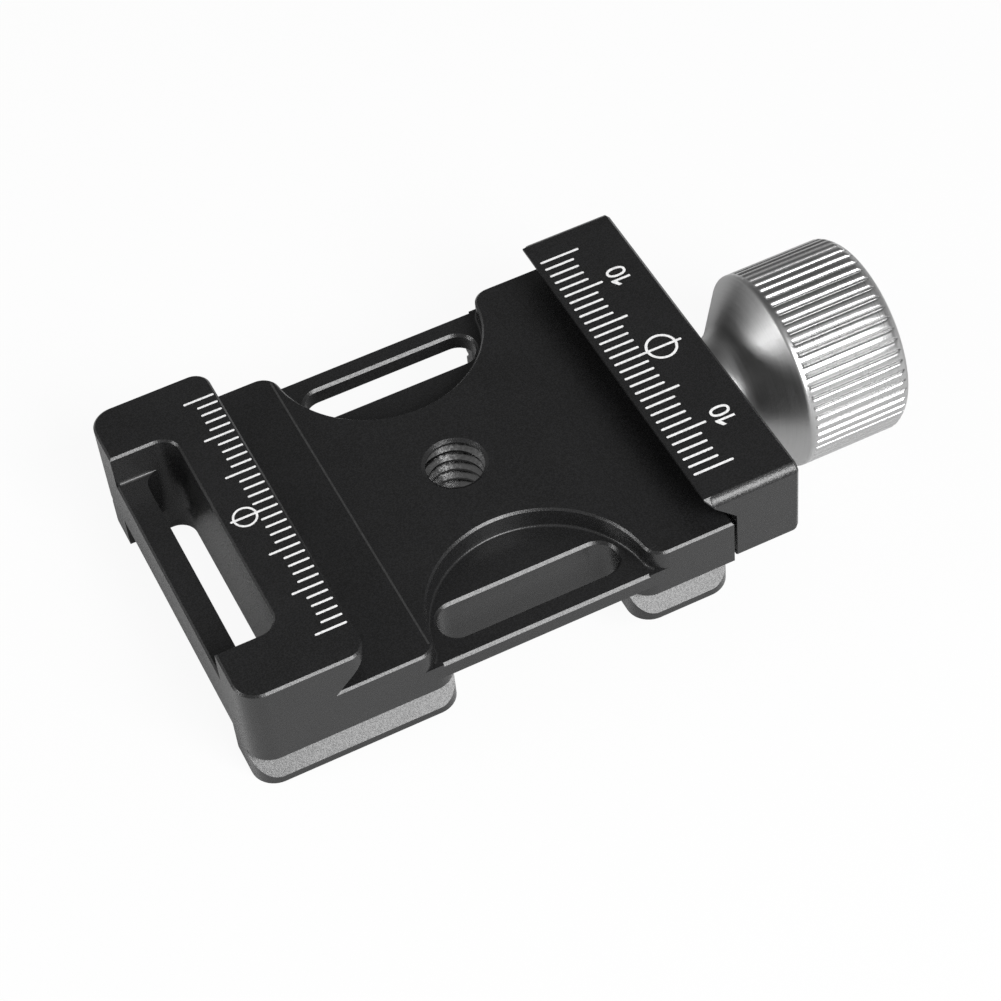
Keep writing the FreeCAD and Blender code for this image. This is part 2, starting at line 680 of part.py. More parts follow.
def make_knob_fixing():
    """Socket screw and lock washer that hold the knob on the clamp screw."""
    seat = SCREW_END + " + fixing_web"
    head = seat + " + lock_washer_thickness"
    end = head + " + fixing_head_height"
    turned_piece("lock_washer", ring_corners(
        seat, "lock_washer_thickness", "fixing_radius + fixing_hole_clearance", "lock_washer_radius"))
    screw = turned_piece("knob_fixing_screw", [
        (SCREW_END + " - fixing_thread_length + " + OUTSIDE, "0"),
        (end, "0"),
        (end, "fixing_head_radius"),
        (head, "fixing_head_radius"),
        (head, "fixing_radius"),
        (SCREW_END + " - fixing_thread_length + " + OUTSIDE, "fixing_radius")])
    reach = "fixing_key_flats / (2 * cos(30))"
    key = outline(screw, "fixing_key", "YZ_Plane", end, [
        ("%s * cos(%d)" % (reach, turn), "%s * sin(%d)" % (reach, turn)) for turn in range(0, 360, 60)])
    pocket(screw, key, "fixing_key_depth")


def make_guides():
    """Guide pins pressed in the jaw and the springs round them in their pockets of the body."""
    tip = "right_end - pin_reach"
    seat_end = JAW_INNER + " + pin_seat_depth"

    def guide(word, sign):
        pin = turned_piece("guide_pin_" + word, [
            (tip, "0"),
            (seat_end, "0"),
            (seat_end, "pin_radius"),
            (tip + " + pin_chamfer", "pin_radius"),
            (tip, "pin_radius - pin_chamfer")])
        pin.setExpression("Placement.Base.y", bound(sign + PIN_LINE))
        spring = new_body("return_spring_" + word, SHAFT)
        spring.setExpression("Placement.Base.y", bound(sign + PIN_LINE))
        start = "right_end - spring_pocket_depth + spring_wire / 2 + spring_clearance"
        centre = "spring_pocket_radius - spring_clearance - spring_wire / 2"
        wire = outline(spring, "spring_wire_" + word, "XZ_Plane", "0", [
            ("%s + spring_wire / 2 * cos(%d)" % (start, turn), "%s + spring_wire / 2 * sin(%d)" % (centre, turn))
            for turn in range(45, 405, 90)])
        coil = spring.newObject("PartDesign::AdditiveHelix", "spring_coil_" + word)
        coil.Profile = wire
        coil.ReferenceAxis = (wire, ["H_Axis"])
        coil.Mode = "height-turns-growth"
        coil.setExpression("Height", bound("spring_pocket_depth - spring_wire - 2 * spring_clearance"))
        coil.setExpression("Turns", bound("spring_coils"))
        doc.recompute()

    both_sides(guide)


make_body()
make_moving_jaw()
make_knob()
make_clamp_screw()
make_washers()
make_knob_fixing()
make_guides()
doc.recompute()

for item in doc.Objects:
    if "Invalid" in item.State or "Error" in item.State:
        raise RuntimeError(item.Name + " failed: " + ", ".join(item.State))

pieces = [item for item in doc.Objects if item.TypeId == "PartDesign::Body"]
for piece in pieces:
    if piece.Shape.isNull() or not piece.Shape.isValid():
        raise RuntimeError(piece.Label + " has no valid shape")
for piece in pieces:
    piece.Shape.exportStep("parts/" + piece.Label + ".step")
    print(piece.Label, len(piece.Shape.Solids), round(piece.Shape.Volume, 2), piece.Shape.BoundBox)
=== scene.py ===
# %% [markdown]
# # A dovetail quick release clamp
# This is a small camera clamp, milled from aluminium and anodised black, with a knurled silver knob.
# The solids come from CAD. Blender adds what they leave out: the finishes, the printed scale, the screw
# threads, the rounded ribs of the knob, the light and the camera.

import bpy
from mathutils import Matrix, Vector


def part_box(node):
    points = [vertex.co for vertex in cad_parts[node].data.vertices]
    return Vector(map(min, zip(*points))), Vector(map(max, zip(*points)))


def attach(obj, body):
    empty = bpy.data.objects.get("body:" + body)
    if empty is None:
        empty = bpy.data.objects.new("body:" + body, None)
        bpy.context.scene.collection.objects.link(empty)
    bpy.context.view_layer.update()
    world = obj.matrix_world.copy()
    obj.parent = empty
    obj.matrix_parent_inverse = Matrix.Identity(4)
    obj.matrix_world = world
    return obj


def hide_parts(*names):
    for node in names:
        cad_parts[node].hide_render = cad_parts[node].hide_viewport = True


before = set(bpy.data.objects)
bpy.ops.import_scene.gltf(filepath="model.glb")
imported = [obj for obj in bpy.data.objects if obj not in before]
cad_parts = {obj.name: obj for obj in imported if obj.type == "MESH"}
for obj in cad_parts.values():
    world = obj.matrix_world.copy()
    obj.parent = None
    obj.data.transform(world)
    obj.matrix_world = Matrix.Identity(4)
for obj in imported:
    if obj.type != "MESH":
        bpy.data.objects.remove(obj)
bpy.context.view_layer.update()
print("nodes from CAD:", sorted(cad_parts))

# %% [markdown]
# ## Units and places
# Everything is in metres, but a machinist thinks in millimetres, so sizes are written as numbers times MM.
# Places on the clamp are read from the boxes of the CAD nodes, so the print and the threads sit where
# the solids are.

# %% Units and places
import math
import bmesh
import bpy
from mathutils import Quaternion, Vector

MM = 0.001
body_low, body_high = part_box("body")
jaw_low, jaw_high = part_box("moving_jaw")
knob_low, knob_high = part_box("knob")
screw_low, screw_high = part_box("clamp_screw")
shaft_height = (knob_low[2] + knob_high[2]) / 2
print("top of the jaws at %.2f mm, shaft at %.2f mm" % (body_high[2] / MM, shaft_height / MM))

# %% [markdown]
# ## Camera
# The photograph looks down on the clamp over its front left corner, from about a quarter of a metre away
# with a long lens. The place and the lens were solved from the clamp's straight edges, so the render can be
# laid over the photograph. The camera hangs a little crooked, because the clamp rests on its knob. A turn
# about the camera's own Z axis after the aiming gives that.

# %% Camera
CAMERA_PLACE = Vector((-57.8546, -161.4555, 203.1715)) * MM
CAMERA_AIM = Vector((1.6624, -5.9992, 8.6)) * MM
CAMERA_ROLL = math.radians(6.5636)
LENS = 103.65
FILM_WIDTH = 36
NEAREST_SEEN = 10 * MM

camera_data = bpy.data.cameras.new("camera")
camera_data.lens = LENS
camera_data.sensor_width = FILM_WIDTH
camera_data.clip_start = NEAREST_SEEN
camera = bpy.data.objects.new("camera", camera_data)
bpy.context.collection.objects.link(camera)
camera.location = CAMERA_PLACE
sight = (CAMERA_AIM - CAMERA_PLACE).to_track_quat("-Z", "Y")
camera.rotation_mode = "QUATERNION"
camera.rotation_quaternion = sight @ Quaternion((0, 0, 1), -CAMERA_ROLL)
bpy.context.scene.camera = camera
print("the camera stands %.0f mm from the channel" % ((CAMERA_AIM - CAMERA_PLACE).length / MM))

# %% [markdown]
# ## Writing a finish as a formula
# A shader is a net of nodes. Laying each Math node by hand hides the idea, so a socket is wrapped in a
# small class: adding or multiplying two wires lays the node. A wire that carries a colour or a vector
# gets Vector Math, because a Math node would turn it grey. Every other node comes from one method, which
# is told the node's type, its settings and the values or wires of its sockets.

# %% Wires
class Wire:
    """An output of a node. Sums and products of wires lay the nodes that work them out."""

    def __init__(self, finish, socket):
        self.finish = finish
        self.socket = socket

    def work_out(self, operation, *terms):
        wide = any(isinstance(term, Wire) and term.socket.type in ("VECTOR", "RGBA") for term in terms)
        kind = "ShaderNodeVectorMath" if wide else "ShaderNodeMath"
        return self.finish.node(kind, {"operation": operation}, dict(enumerate(terms)))

    def __add__(self, other):
        return self.work_out("ADD", self, other)

    def __sub__(self, other):
        return self.work_out("SUBTRACT", self, other)

    def __mul__(self, other):
        return self.work_out("MULTIPLY", self, other)

    def __rsub__(self, other):
        return self.work_out("SUBTRACT", other, self)

    __radd__ = __add__
    __rmul__ = __mul__

    def highest(self, other):
        return self.work_out("MAXIMUM", self, other)


# %% Finishes made of wires
class Finish:
    """The nodes of a material or of the world, written as wires."""

    def __init__(self, owner):
        owner.use_nodes = True
        self.tree = owner.node_tree
        self.tree.nodes.clear()

    def node(self, kind, settings=None, inputs=None, output=0):
        """A new node of that kind. The wire starts at the output that is named or numbered."""
        node = self.tree.nodes.new(kind)
        for word, choice in (settings or {}).items():
            setattr(node, word, choice)
        for key, value in (inputs or {}).items():
            socket = node.inputs[key]
            if isinstance(value, Wire):
                self.tree.links.new(value.socket, socket)
            elif socket.type == "VECTOR" and not hasattr(value, "__len__"):
                socket.default_value = (value, value, value)
            else:
                socket.default_value = value
        return Wire(self, node.outputs[output])

    def place(self):
        """The place on the clamp in metres, which stays with the piece when it moves."""
        return self.node("ShaderNodeTexCoord", output="Object")

    def noise(self, place, grain, detail=2.0, roughness=0.5):
        """Cloudy noise from 0 to 1 with grains of that size in metres."""
        return self.node("ShaderNodeTexNoise", None, {
            "Vector": place, "Scale": 1 / grain, "Detail": detail, "Roughness": roughness})

    def between(self, value, low, high, first=0.0, last=1.0):
        """The value's place between low and high, eased at both, and moved to run from first to last."""
        return self.node("ShaderNodeMapRange", {"interpolation_type": "SMOOTHSTEP"}, {
            "Value": value, "From Min": low, "From Max": high, "To Min": first, "To Max": last})

    def mixed(self, share, first, second):
        """One colour turning into another."""
        return self.node("ShaderNodeMix", {"data_type": "RGBA"}, {0: share, 6: first, 7: second}, output=2)

    def bump(self, height, depth, under=None):
        """A relief of that depth in metres. It may lie on another one."""
        inputs = {"Height": height, "Distance": depth}
        if under is not None:
            inputs["Normal"] = under
        return self.node("ShaderNodeBump", None, inputs)

    def seen_as(self, by_camera, in_mirrors):
        """One level where the camera looks straight at it, another where metal or glass shows it."""
        level = self.node("ShaderNodeLightPath", output="Is Camera Ray") * by_camera
        for kind in ("Is Glossy Ray", "Is Transmission Ray"):
            level = level.highest(self.node("ShaderNodeLightPath", output=kind) * in_mirrors)
        return level

    def close(self, shader, into="ShaderNodeOutputMaterial"):
        """The last node, which takes the shader."""
        end = self.tree.nodes.new(into)
        self.tree.links.new(shader.socket, end.inputs["Surface"])

    def surface(self, colour, roughness, normal, metallic=0.0):
        """The end that most finishes have: the Principled shader with these four inputs."""
        self.close(self.node("ShaderNodeBsdfPrincipled", None, {
            "Base Color": colour, "Metallic": metallic, "Roughness": roughness, "Normal": normal}))


def new_finish(name):
    material = bpy.data.materials.new(name)
    return material, Finish(material)


def grey(level, blue=1.0):
    """A neutral colour, a little bluer where blue is over 1."""
    return (level, level, level * blue, 1.0)


# %% [markdown]
# ## Black anodised aluminium
# The body and the jaw are blasted with fine beads and then dyed black in the anodising bath. The oxide is
# nearly black, and a thin clear skin on it gives a dull gloss. Up close the beads leave a fine grain that
# sparkles where a lamp is mirrored. The grain is noise in three dimensions, so it runs over every edge
# without a seam. It drives the bump and the roughness, and a broader noise keeps the dye from looking
# dead even.

# %% Black anodised finish
BEAD_MARK = 0.14 * MM
BEAD_DEPTH = 0.018 * MM
BEAD_FAINT, BEAD_FULL = 0.32, 0.7
DYE_CLOUD = 5 * MM
CLOUD_SHARE = 0.4
CLOUD_DULLNESS = 0.3
DYE_DEEP, DYE_PALE = grey(0.007), grey(0.019, 1.04)
DYE_SMOOTH, DYE_DULL = 0.22, 0.36

black, finish = new_finish("black_anodised")
place = finish.place()
beads = finish.noise(place, BEAD_MARK, detail=3.0, roughness=0.6)
clouds = finish.noise(place, DYE_CLOUD, detail=4.0)
speck = finish.between(beads, BEAD_FAINT, BEAD_FULL)
finish.surface(
    colour=finish.mixed(speck * (1 - CLOUD_SHARE) + clouds * CLOUD_SHARE, DYE_DEEP, DYE_PALE),
    roughness=finish.between(speck + clouds * CLOUD_DULLNESS, 0.0, 1 + CLOUD_DULLNESS,
                             DYE_SMOOTH, DYE_DULL),
    normal=finish.bump(beads, BEAD_DEPTH))
print("black anodised: bead marks of %.2f mm" % (BEAD_MARK / MM))

# %% [markdown]
# ## Painted highlight lines and cut threads
# A lighter, patchy black is painted on a few thin strips along low edges and steps. It is a painted
# highlight: it draws the bright lines there that the lamps alone leave too dim. The thread of the camera
# screw hole was tapped last and has been used, so it is smoother and shows dark bare metal. Both are one
# noise that sets the tone, the gloss and the relief together, and so is the nylon further on. Only their
# numbers differ.

# %% Painted highlight line and cut thread finishes
PATCH_FAINT, PATCH_FULL = 0.3, 0.7


def patchy_finish(name, patch, dark, light, smooth, dull, depth, metallic=0.0):
    """A finish in patches of that size in metres. The lighter ones are duller and stand higher."""
    material, finish = new_finish(name)
    patches = finish.noise(finish.place(), patch, detail=3.0)
    finish.surface(
        colour=finish.mixed(patches, dark, light),
        roughness=finish.between(patches, PATCH_FAINT, PATCH_FULL, smooth, dull),
        normal=finish.bump(patches, depth),
        metallic=metallic)
    return material


# The first finish is a painted highlight: a lighter black for the thin strips that should show a bright edge
# line.
highlight_paint = patchy_finish("painted_highlight_line", patch=0.3 * MM, dark=grey(0.02), light=grey(0.07),
                       smooth=0.22, dull=0.38, depth=0.01 * MM)
cut_metal = patchy_finish("cut_thread", patch=0.3 * MM, dark=grey(0.10), light=grey(0.30),
                          smooth=0.16, dull=0.26, depth=0.008 * MM, metallic=1.0)
print("rubbed edges and cut threads are ready")

# %% [markdown]
# ## Clear anodised aluminium
# The knob is turned on a lathe, blasted and anodised without dye, so it is plain satin metal. The ribs
# are cut last, so they are smoother than the neck and the end bevel. The neck and the bevel are also
# painted darker: painted shade for the shaded floor and the black jaw that they mirror. The tool leaves fine
# rings about the knob's axis: noise that is read far faster along the axis than across it. A finer grain
# from the blasting lies over them. The share of blasting is worked out from the place along the axis.

# %% Clear anodised finish
LATHE_RING = 0.09 * MM
RING_DEPTH = 0.0015 * MM
BLAST_GRAIN = 0.08 * MM
GRAIN_DEPTH = 0.012 * MM
GRAIN_LEFT_ON_RIBS = 0.05
GRAIN_BY_BLASTING = 0.75
# Painted shade: the neck and the end bevel are painted this much darker, for the shaded floor and black jaw
# they mirror.
NECK_BEVEL_PAINTED_SHADE = 0.35
DULLER_BY_BLASTING = 0.10
METAL_CLOUD = 4 * MM
RING_SHARE, GRAIN_SHARE, METAL_CLOUD_SHARE = 0.4, 0.35, 0.25
TONE_LOW, TONE_HIGH = 0.25, 0.75
SILVER_DARK, SILVER_LIGHT = grey(0.38), grey(0.63)
SILVER_SMOOTH, SILVER_DULL = 0.24, 0.36
NECK_END = knob_low[0] + 6.5 * MM
NECK_FADE = 0.3 * MM
BEVEL_START = knob_high[0] - 0.6 * MM
BEVEL_FADE = 0.1 * MM


def lathe_rings(finish, place, width, across):
    """Rings of that width about the shaft. across is the pace of the noise across it, 1 along it."""
    return finish.noise(place * (1.0, across, across), width)


silver, finish = new_finish("clear_anodised")
place = finish.place()
along = finish.node("ShaderNodeSeparateXYZ", None, {0: place}, "X")
neck = 1 - finish.between(along, NECK_END - NECK_FADE, NECK_END + NECK_FADE)
blasted = neck + finish.between(along, BEVEL_START - BEVEL_FADE, BEVEL_START + BEVEL_FADE)
rings = lathe_rings(finish, place, LATHE_RING, across=0.02)
grain = finish.noise(place, BLAST_GRAIN, detail=3.0)
clouds = finish.noise(place, METAL_CLOUD, detail=3.0)
tone = rings * RING_SHARE + grain * GRAIN_SHARE + clouds * METAL_CLOUD_SHARE
rough = grain * (GRAIN_LEFT_ON_RIBS + GRAIN_BY_BLASTING * blasted)
finish.surface(
    # The colour is painted darker on the neck and the bevel: painted shade.
    colour=finish.mixed(tone - NECK_BEVEL_PAINTED_SHADE * blasted, SILVER_DARK, SILVER_LIGHT),
    roughness=finish.between(tone, TONE_LOW, TONE_HIGH, SILVER_SMOOTH, SILVER_DULL)
    + blasted * DULLER_BY_BLASTING,
    normal=finish.bump(rough, GRAIN_DEPTH, under=finish.bump(rings, RING_DEPTH)),
    metallic=1.0)
print("clear anodised: turning marks of %.2f mm" % (LATHE_RING / MM))

# %% [markdown]
# ## Steel and nylon
# The screws, the pins, the springs and the thrust washer are bright steel, ground or turned round the same
# axis as the knob. The friction washer is a plain white plastic ring. They are seen when the jaw is open.

# %% Steel and nylon finishes
STEEL_RING = 0.05 * MM
STEEL_DEPTH = 0.002 * MM
STEEL_CLOUD = 1.5 * MM
STEEL_DARK, STEEL_LIGHT = grey(0.42), grey(0.60)
STEEL_SMOOTH, STEEL_DULL = 0.22, 0.36

steel, finish = new_finish("steel")
place = finish.place()
rings = lathe_rings(finish, place, STEEL_RING, across=0.03)
clouds = finish.noise(place, STEEL_CLOUD, detail=3.0)
tone = rings * (1 - CLOUD_SHARE) + clouds * CLOUD_SHARE
finish.surface(
    colour=finish.mixed(tone, STEEL_DARK, STEEL_LIGHT),
    roughness=finish.between(tone, TONE_LOW, TONE_HIGH, STEEL_SMOOTH, STEEL_DULL),
    normal=finish.bump(rings, STEEL_DEPTH),
    metallic=1.0)
nylon = patchy_finish("nylon", patch=0.4 * MM, dark=(0.78, 0.76, 0.70, 1), light=(0.86, 0.85, 0.81, 1),
                      smooth=0.42, dull=0.58, depth=0.004 * MM)
print("steel and nylon are ready")

# %% [markdown]
# ## Each CAD node gets its finish
# The meshes aren't touched. Only their material slots are filled. What isn't named here is steel.

# %% Finishes on the CAD nodes
FINISHES = {
    "body": black,
    "moving_jaw": black,
    "knob": silver,
    "friction_washer": nylon,
}
for name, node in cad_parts.items():
    coat = FINISHES.get(name, steel)
    if not node.material_slots:
        node.data.materials.append(coat)
    for holder in node.material_slots:
        holder.material = coat
print("finishes on", len(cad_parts), "nodes")

# %% [markdown]
# ## From a mesh to a piece of the clamp
# Every mesh that is added gets its finish and rides on the body of the clamp that carries it, so it
# follows when the jaw slides or the knob turns. Faces that meet at a shallow angle are shaded as one
# curve. Nearly all pieces are sweeps: one section after another, joined by a skin.

# %% Adding a piece
SHARP = math.radians(35)


def add_piece(name, mesh, coat, rides_on):
    bmesh.ops.recalc_face_normals(mesh, faces=mesh.faces)
    for face in mesh.faces:
        face.smooth = True
    for edge in mesh.edges:
        edge.smooth = len(edge.link_faces) == 2 and edge.calc_face_angle() < SHARP
    data = bpy.data.meshes.new(name)
    mesh.to_mesh(data)
    mesh.free()
    data.materials.append(coat)
    piece = bpy.data.objects.new(name, data)
    bpy.context.collection.objects.link(piece)
    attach(piece, rides_on)
    print("%s: %d faces, rides on %s" % (name, len(data.polygons), rides_on))
    return piece


# %% Sweeping a section
def sweep(mesh, sections, closed=False):
    """A solid through sections of equally many points. Closed, its last section meets its first."""
    rings = [[mesh.verts.new(point) for point in section] for section in sections]
    for near, far in zip(rings, rings[1:] + rings[:1] if closed else rings[1:]):
        for k in range(len(near)):
            mesh.faces.new((near[k - 1], near[k], far[k], far[k - 1]))
    if not closed:
        mesh.faces.new(rings[0])
        mesh.faces.new(rings[-1])


# %% [markdown]
# ## Screw threads
# The CAD hole is a smooth bore at the root of its thread, because MuJoCo has no use for a thread. The
# camera looks straight into the hole, so the thread has to be there. A thread is one ridge wound round
# the axis: a flat topped bar whose foot is wider than its top. It is built section by section, and both
# ends run out over a quarter of a turn, as a tap or a die leaves them. The 1/4 inch camera thread has 20
# turns per inch. A narrow lip closes the mouth of the smooth bore down to the thread's own width.

# %% Winding a ridge
TURN_STEPS = 48
RIDGE_RUN_OUT = 0.25


def wind_ridge(mesh, to_place, start, end, pitch, foot_radius, crest_radius, foot_width, crest_width):
    """A ridge from start to end along the axis. to_place gives the point at a place, radius and angle."""
    steps = int((end - start - foot_width) / pitch * TURN_STEPS)
    sections = []
    for step in range(steps + 1):
        turned = step / TURN_STEPS
        middle = start + foot_width / 2 + turned * pitch
        grown = min(1.0, turned / RIDGE_RUN_OUT, (steps / TURN_STEPS - turned) / RIDGE_RUN_OUT)
        top = foot_radius + (crest_radius - foot_radius) * grown
        half_foot = foot_width / 2
        half_top = half_foot + (crest_width / 2 - half_foot) * grown
        corners = ((-half_foot, foot_radius), (-half_top, top), (half_top, top), (half_foot, foot_radius))
        sections.append([to_place(middle + along, radius, turned * math.tau) for along, radius in corners])
    sweep(mesh, sections)


# %% Thread of the camera screw hole
INCH_PITCH = 25.4 * MM / 20
HOLE_ROOT = 3.2 * MM
HOLE_CREST = 2.62 * MM
HOLE_START = 0.15 * MM
HOLE_END = 8.3 * MM
INTO_WALL = 0.04 * MM


def in_hole(height, radius, angle):
    return radius * math.cos(angle), radius * math.sin(angle), height


mesh = bmesh.new()
wind_ridge(mesh, in_hole, HOLE_START, HOLE_END, INCH_PITCH,
           foot_radius=HOLE_ROOT + INTO_WALL, crest_radius=HOLE_CREST,
           foot_width=INCH_PITCH * 0.86, crest_width=INCH_PITCH * 0.2)
add_piece("camera_thread", mesh, cut_metal, "base")

# %% Lip at the mouth of the hole
LIP_STEPS = 96
LIP_HIGH = 8.604 * MM
LIP_SLOPE_END = LIP_HIGH - 0.24 * MM
LIP_BACK = LIP_HIGH - 0.35 * MM
LIP_LOW = HOLE_END - 0.1 * MM
LIP_OUTER = 3.56 * MM
LIP_RADIUS = 3.06 * MM
LIP_INNER = HOLE_CREST + 0.1 * MM
LIP = ((LIP_HIGH, LIP_OUTER), (LIP_HIGH, LIP_RADIUS), (LIP_SLOPE_END, LIP_INNER),
       (LIP_LOW, LIP_INNER), (LIP_LOW, HOLE_ROOT), (LIP_BACK, HOLE_ROOT))

mesh = bmesh.new()
sweep(mesh, [[in_hole(height, radius, math.tau * step / LIP_STEPS) for height, radius in LIP]
             for step in range(LIP_STEPS)], closed=True)
add_piece("camera_hole_lip", mesh, black, "base")

# %% [markdown]
# ## The foot of the recesses and of the end pocket
# The cutter that mills the round recesses has a rounded corner, so their wall runs into the top of the side
# arm in a small hollow curve. The curve is a strip with a quarter round section, swept along the foot of
# the wall: round the recess, and a little way round the corner at each end of its mouth. The two end walls
# of the pocket on the left have the same curve, in the lighter black that paints a highlight line along it.

# %% Arcs, and the section of the hollow curve
FOOT_RADIUS = 0.25 * MM
FOOT_SINK = 0.02 * MM
FOOT_STEPS = 6


def arc(across, up, radius, start, end, steps):
    """Points on an arc about (across, up). The angles are counted from straight up, to the right."""
    angles = [start + (end - start) * step / steps for step in range(steps + 1)]
    return [(across + radius * math.sin(angle), up + radius * math.cos(angle)) for angle in angles]


foot = [(-FOOT_SINK, FOOT_RADIUS), (-FOOT_SINK, -FOOT_SINK), (FOOT_RADIUS, -FOOT_SINK)]
foot += arc(FOOT_RADIUS, FOOT_RADIUS, -FOOT_RADIUS, 0, math.pi / 2, FOOT_STEPS)
print("the hollow curve has", len(foot), "corners")

# %% Rounding at the foot of both recesses
RECESS_RADIUS = 10.25 * MM
RECESS_INSET = 0.5 * MM
RECESS_STEPS = 64
MOUTH_RADIUS = 1.8 * MM
MOUTH_FROM, MOUTH_TO = math.radians(40), math.radians(5)
MOUTH_STEPS = 7
FOOT_HEIGHT = 6.4 * MM

recess_y = body_high[1] - RECESS_INSET
mouth_y = body_high[1] - MOUTH_RADIUS
meeting = math.asin((recess_y - mouth_y) / (RECESS_RADIUS + MOUTH_RADIUS))
mouth_x = (RECESS_RADIUS + MOUTH_RADIUS) * math.cos(meeting)


def wall_foot(middle, radius, start, end, steps, side):
    """Points along a round wall, each with the way out of it, which leads from (1) or to (-1) the middle."""
    points = []
    for step in range(steps + 1):
        angle = start + (end - start) * step / steps
        way = Vector((math.cos(angle), math.sin(angle)))
        points.append((Vector(middle) + radius * way, side * way))
    return points


def recess_foot():
    """The wall of the back recess: a corner, the recess and the other corner."""
    corner = wall_foot((mouth_x, mouth_y), MOUTH_RADIUS, math.pi - meeting - MOUTH_FROM,
                       math.pi - meeting - MOUTH_TO, MOUTH_STEPS, 1)
    recess = wall_foot((0, recess_y), RECESS_RADIUS, -meeting, meeting - math.pi, RECESS_STEPS, -1)
    other = [(Vector((-spot.x, spot.y)), Vector((-way.x, way.y))) for spot, way in reversed(corner)]
    return corner + recess + other


mesh = bmesh.new()
for side in (-1, 1):
    sweep(mesh, [[(spot.x + out * way.x, side * (spot.y + out * way.y), FOOT_HEIGHT + up)
                  for out, up in foot] for spot, way in recess_foot()])
add_piece("recess_foot_rounding", mesh, black, "base")

# %% Rounding at the foot of the end pocket's two walls
BAR_TOP = 9.0 * MM
POCKET_WALL = 12.4 * MM
ALONG_WALL = ((0.35 * MM, 1.0), (3.2 * MM, 1.0), (3.9 * MM, 0.1))

mesh = bmesh.new()
for side in (-1, 1):
    sweep(mesh, [[(body_low[0] + along, side * (POCKET_WALL - share * out), BAR_TOP + share * up)
                  for out, up in foot] for along, share in ALONG_WALL])
# The pocket's curve is given the lighter black: a painted highlight line.
add_piece("pocket_foot_rounding", mesh, highlight_paint, "base")

# %% [markdown]
# ## The steps in the channel's floor
# The mill went a hair deeper along both jaws than in the middle of the floor. That leaves two steps less
# than a tenth of a millimetre high, and light draws a faint line along each. Each step is a flat wedge:
# it rises at the step and falls back to the floor over a few millimetres. It ends short of the round
# recesses. Along the left step runs a hair of lighter black, a painted highlight line.

# %% Steps in the floor
FLOOR_HEIGHT = 8.6 * MM
STEP_LEFT = -10.65 * MM
STEP_RIGHT = 11.28 * MM
STEP_HEIGHT = 0.06 * MM
STEP_REACH = 17.4 * MM
HALF_THE_SECTIONS = 58
WEDGE_LENGTH = 3 * MM
WEDGE_SINK = 0.02 * MM
RIM_CLEARANCE = 0.22 * MM


def recess_edge(y):
    """How far from the clamp's middle line the recess reaches at that y."""
    if abs(y) > recess_y - RECESS_RADIUS * math.sin(meeting):
        return mouth_x - math.sqrt(MOUTH_RADIUS ** 2 - (abs(y) - mouth_y) ** 2)
    return math.sqrt(max(0.0, RECESS_RADIUS ** 2 - (recess_y - abs(y)) ** 2))


mesh = bmesh.new()
for edge_x in (STEP_LEFT, STEP_RIGHT):
    side = math.copysign(1, edge_x)
    near = abs(edge_x)
    sections = []
    for k in range(-HALF_THE_SECTIONS, HALF_THE_SECTIONS + 1):
        y = STEP_REACH * k / HALF_THE_SECTIONS
        far = max(near - WEDGE_LENGTH, recess_edge(y) + RIM_CLEARANCE)
        fallen = STEP_HEIGHT * (near - far) / WEDGE_LENGTH
        corners = ((near, -WEDGE_SINK), (near, STEP_HEIGHT),
                   (far, STEP_HEIGHT - fallen), (far, -WEDGE_SINK))
        sections.append([(side * x, y, FLOOR_HEIGHT + up) for x, up in corners])
    sweep(mesh, sections)
add_piece("floor_steps", mesh, black, "base")

# %% Painted highlight line along the left step
LINE_HEIGHT = STEP_HEIGHT * 1.05
LINE_TOP = STEP_HEIGHT / 3
LINE_FOOT = STEP_HEIGHT * 2.8
LINE = ((0.0, 0.0), (0.0, LINE_HEIGHT), (-LINE_TOP, LINE_HEIGHT),
        (-LINE_FOOT, 0.0), (-LINE_FOOT, -WEDGE_SINK), (0.0, -WEDGE_SINK))

mesh = bmesh.new()
sweep(mesh, [[(STEP_LEFT + x, y, FLOOR_HEIGHT + up) for x, up in LINE] for y in (-STEP_REACH, STEP_REACH)])
# The strip's lighter black is a painted highlight along the left step.
add_piece("floor_step_edge", mesh, highlight_paint, "base")

# %% [markdown]
# ## Rounded ends of the moving jaw
# The solid jaw has a bevel along the top edge of both its ends. On the real jaw that edge is crowned, and
# the lamp draws a soft gradient over it. A flat arc from one edge of the bevel to the other fills it out
# to that curve. It starts where the jaw's thin tip is high enough for it, and shrinks where it meets the
# broken edge of the outer face.

# %% Rounding of the jaw's ends
BEVEL_SLOPE = math.radians(45)
END_BEVEL = 0.75 * MM
CROWN_TURN = math.radians(22)
CROWN_STEPS = 8
CROWN_START = 0.56 * MM
START_LOWER = 0.03 * MM
RIM_BREAK = 0.3 * MM
RIM_SHORT = 0.004 * MM


def crown(bevel, turn):
    """The arc over a bevel, turning so far to both sides: its radius, and how deep its middle lies."""
    radius = bevel / math.sqrt(2) / math.sin(turn)
    return radius, bevel / 2 + radius * math.cos(turn) / math.sqrt(2)


full, crown_depth = crown(END_BEVEL, CROWN_TURN)
crown_y = jaw_high[1] - crown_depth
crown_z = jaw_high[2] - crown_depth
mesh = bmesh.new()
for side in (-1, 1):
    sections = []
    for along, radius in ((jaw_low[0] + CROWN_START, full - START_LOWER), (jaw_low[0] + END_BEVEL, full),
                          (jaw_high[0] - RIM_BREAK, full), (jaw_high[0] - RIM_SHORT, full - RIM_BREAK)):
        section = [(jaw_high[1] - END_BEVEL, jaw_high[2] - END_BEVEL)]
        section += arc(crown_y, crown_z, radius,
                       BEVEL_SLOPE - CROWN_TURN, BEVEL_SLOPE + CROWN_TURN, CROWN_STEPS)
        sections.append([(along, side * y, z) for y, z in section])
    sweep(mesh, sections)
add_piece("jaw_end_rounding", mesh, black, "jaw")

# %% [markdown]
# ## The clamp screw
# The screw that draws the jaw in is an M5 screw, threaded for as far as it reaches into the body and
# through the gap that opens when the jaw slides out. Its core and its plain shank are one turned outline,
# and the thread's ridge is wound on the core. It stands for the smooth CAD screw.

